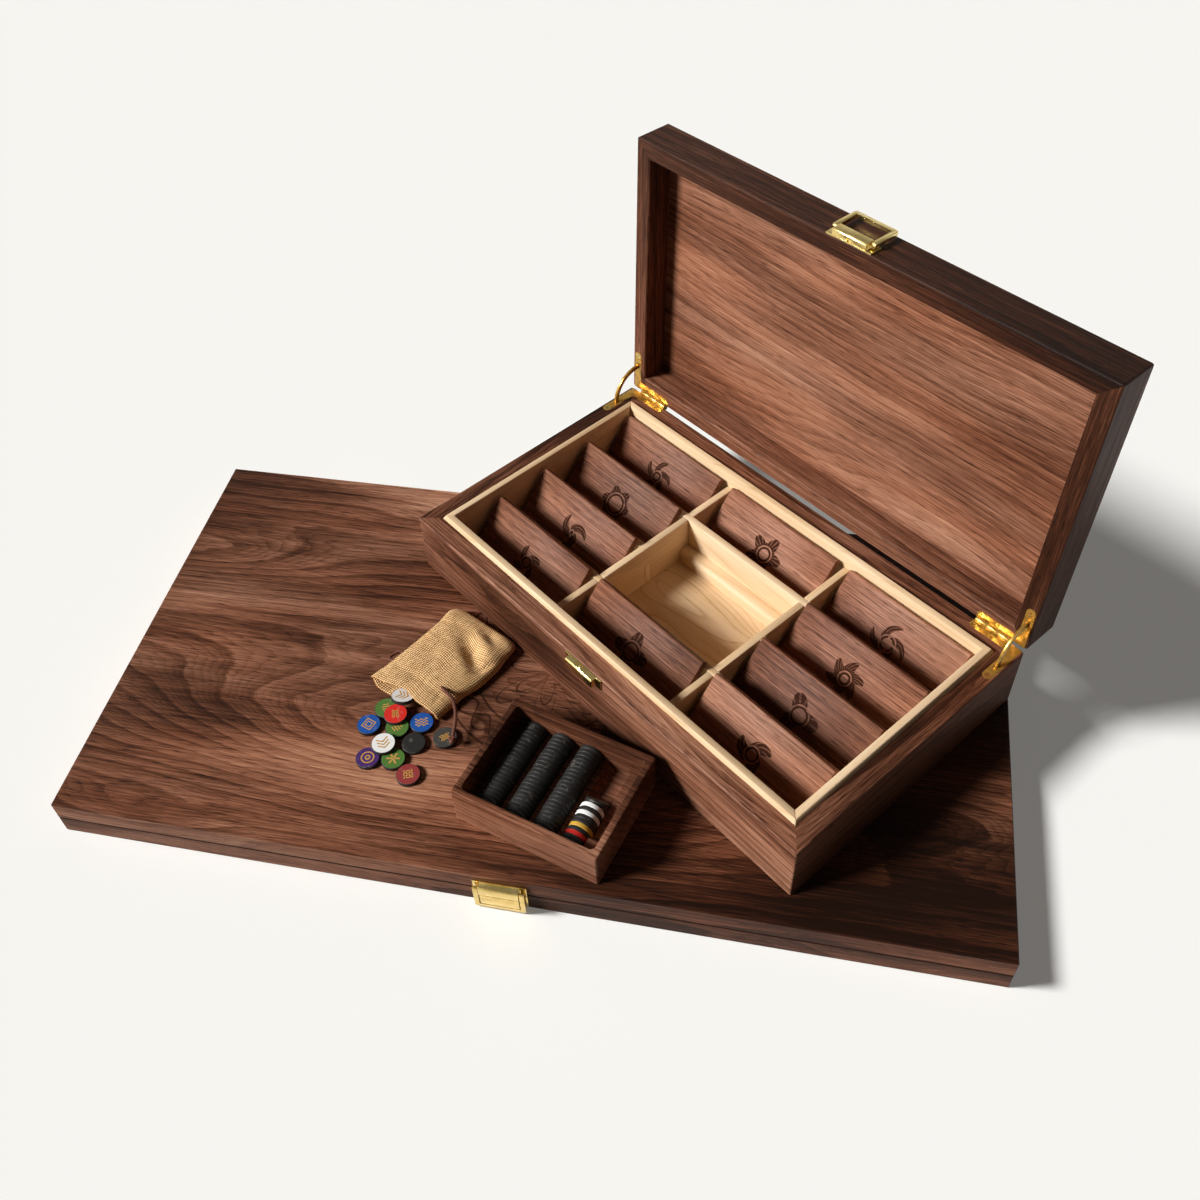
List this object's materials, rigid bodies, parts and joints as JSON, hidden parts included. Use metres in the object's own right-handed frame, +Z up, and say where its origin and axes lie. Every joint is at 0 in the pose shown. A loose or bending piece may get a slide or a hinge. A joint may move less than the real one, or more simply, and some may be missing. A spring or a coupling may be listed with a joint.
{
  "type": "card game board",
  "caption": "Folding wooden game board with a hinged, divided card case, leaning card rests, a token tray and a drawstring bag of tokens.",
  "frame": {"origin": "centre of the folded board's underside, on the surface that the set stands on", "axes": "+X to the right along the board's front edge, +Y from the latch to the board's back hinges, +Z up"},
  "size_m": [0.5502, 0.3895, 0.2606],
  "materials": {
    "walnut": "oiled satin walnut",
    "maple": "satin maple",
    "playing_field": "satin veneer",
    "brass": "polished, lacquered",
    "token": "matt, with coloured faces",
    "burlap": "woven",
    "cord": "twisted"
  },
  "bodies": {
    "board_upper_half": {"board_upper": "walnut", "playfield_upper": "playing_field", "board_hinge_leaves_upper": "brass", "board_hinge_pins": "brass", "board_latch_block": "brass"},
    "board_lower_half": {"board_lower": "walnut", "playfield_lower": "playing_field", "board_hinge_leaves_lower": "brass", "board_catch": "brass"},
    "board_loop": {"board_latch_loop": "brass"},
    "case": {"case_wall_front": "walnut", "case_wall_back": "walnut", "case_wall_left": "walnut", "case_wall_right": "walnut", "case_floor": "maple", "liner_front": "maple", "liner_back": "maple", "liner_left": "maple", "liner_right": "maple", "divider_left": "maple", "divider_right": "maple", "cross_front": "maple", "cross_back": "maple", "cross_stubs": "maple", "compartment_ledge": "maple", "hinge_leaves_base": "brass", "hinge_pins": "brass", "hinge_screws_base": "brass", "case_catch": "brass"},
    "lid": {"lid_rail_front": "walnut", "lid_rail_back": "walnut", "lid_rail_left": "walnut", "lid_rail_right": "walnut", "lid_panel": "walnut", "hinge_leaves_lid": "brass", "hinge_screws_lid": "brass", "lid_latch_block": "brass"},
    "stays": {"hinge_stays": "brass"},
    "lid_loop": {"lid_latch_loop": "brass"},
    "tray": {"tray_box": "walnut", "tray_rails": "walnut"},
    "loose_tokens_low": {"tokens_low": "token"},
    "loose_tokens_high": {"tokens_high": "token"},
    "cloth_bag": {"bag": "burlap", "drawstring": "cord", "drawstring_knot": "cord"},
    "rest_1": {"card_rest_1": "walnut"},
    "rest_2": {"card_rest_2": "walnut"},
    "rest_3": {"card_rest_3": "walnut"},
    "rest_4": {"card_rest_4": "walnut"},
    "rest_5": {"card_rest_5": "walnut"},
    "rest_6": {"card_rest_6": "walnut"},
    "rest_7": {"card_rest_7": "walnut"},
    "rest_8": {"card_rest_8": "walnut"},
    "rest_9": {"card_rest_9": "walnut"},
    "rest_10": {"card_rest_10": "walnut"},
    "stack_1": {"token_stack_1": "token"},
    "stack_2": {"token_stack_2": "token"},
    "stack_3": {"token_stack_3": "token"},
    "stack_4": {"token_stack_4": "token"}
  },
  "joints": [
    {"name": "board_fold", "type": "hinge", "parent": "board_upper_half", "child": "board_lower_half", "pos_m": [0, 0.1418, 0.0134], "axis": [1, 0, 0], "range_deg": [0, 180]},
    {"name": "board_latch_swing", "type": "hinge", "parent": "board_upper_half", "child": "board_loop", "pos_m": [-0.0003, -0.1444, 0.0189], "axis": [-1, 0, 0], "range_deg": [0, 160]},
    {"name": "case_lift", "type": "slide", "parent": "board_upper_half", "child": "case", "axis": [0, 0, 1], "range_m": [0, 0.06]},
    {"name": "lid_hinge", "type": "hinge", "parent": "case", "child": "lid", "pos_m": [0.13952, 0.12041, 0.0707], "axis": [-0.7891, 0.6143, 0], "range_deg": [-92.2, 0]},
    {"name": "stay_swing", "type": "hinge", "parent": "case", "child": "stays", "pos_m": [0.13952, 0.12041, 0.0707], "axis": [-0.7891, 0.6143, 0], "range_deg": [-46.1, 0]},
    {"name": "lid_latch_swing", "type": "hinge", "parent": "lid", "child": "lid_loop", "pos_m": [0.14744, 0.13058, 0.25904], "axis": [-0.7891, 0.6143, 0], "range_deg": [-180, 0]},
    {"name": "rest_1_lift", "type": "slide", "parent": "case", "child": "rest_1", "axis": [0, 0, 1], "range_m": [0, 0.06]},
    {"name": "rest_2_lift", "type": "slide", "parent": "case", "child": "rest_2", "axis": [0, 0, 1], "range_m": [0, 0.06]},
    {"name": "rest_3_lift", "type": "slide", "parent": "case", "child": "rest_3", "axis": [0, 0, 1], "range_m": [0, 0.06]},
    {"name": "rest_4_lift", "type": "slide", "parent": "case", "child": "rest_4", "axis": [0, 0, 1], "range_m": [0, 0.06]},
    {"name": "rest_5_lift", "type": "slide", "parent": "case", "child": "rest_5", "axis": [0, 0, 1], "range_m": [0, 0.06]},
    {"name": "rest_6_lift", "type": "slide", "parent": "case", "child": "rest_6", "axis": [0, 0, 1], "range_m": [0, 0.06]},
    {"name": "rest_7_lift", "type": "slide", "parent": "case", "child": "rest_7", "axis": [0, 0, 1], "range_m": [0, 0.06]},
    {"name": "rest_8_lift", "type": "slide", "parent": "case", "child": "rest_8", "axis": [0, 0, 1], "range_m": [0, 0.06]},
    {"name": "rest_9_lift", "type": "slide", "parent": "case", "child": "rest_9", "axis": [0, 0, 1], "range_m": [0, 0.06]},
    {"name": "rest_10_lift", "type": "slide", "parent": "case", "child": "rest_10", "axis": [0, 0, 1], "range_m": [0, 0.06]},
    {"name": "tray_lift", "type": "slide", "parent": "board_upper_half", "child": "tray", "axis": [0, 0, 1], "range_m": [0, 0.05]},
    {"name": "stack_1_lift", "type": "slide", "parent": "tray", "child": "stack_1", "axis": [0, 0, 1], "range_m": [0, 0.04]},
    {"name": "stack_2_lift", "type": "slide", "parent": "tray", "child": "stack_2", "axis": [0, 0, 1], "range_m": [0, 0.04]},
    {"name": "stack_3_lift", "type": "slide", "parent": "tray", "child": "stack_3", "axis": [0, 0, 1], "range_m": [0, 0.04]},
    {"name": "stack_4_lift", "type": "slide", "parent": "tray", "child": "stack_4", "axis": [0, 0, 1], "range_m": [0, 0.04]},
    {"name": "tokens_low_lift", "type": "slide", "parent": "board_upper_half", "child": "loose_tokens_low", "axis": [0, 0, 1], "range_m": [0, 0.03]},
    {"name": "tokens_high_lift", "type": "slide", "parent": "loose_tokens_low", "child": "loose_tokens_high", "axis": [0, 0, 1], "range_m": [0, 0.03]},
    {"name": "bag_lift", "type": "slide", "parent": "loose_tokens_low", "child": "cloth_bag", "axis": [0, 0, 1], "range_m": [0, 0.05]}
  ],
  "couplings": [
    {"joint": "stay_swing", "follows": "lid_hinge", "ratio": 0.5}
  ]
}
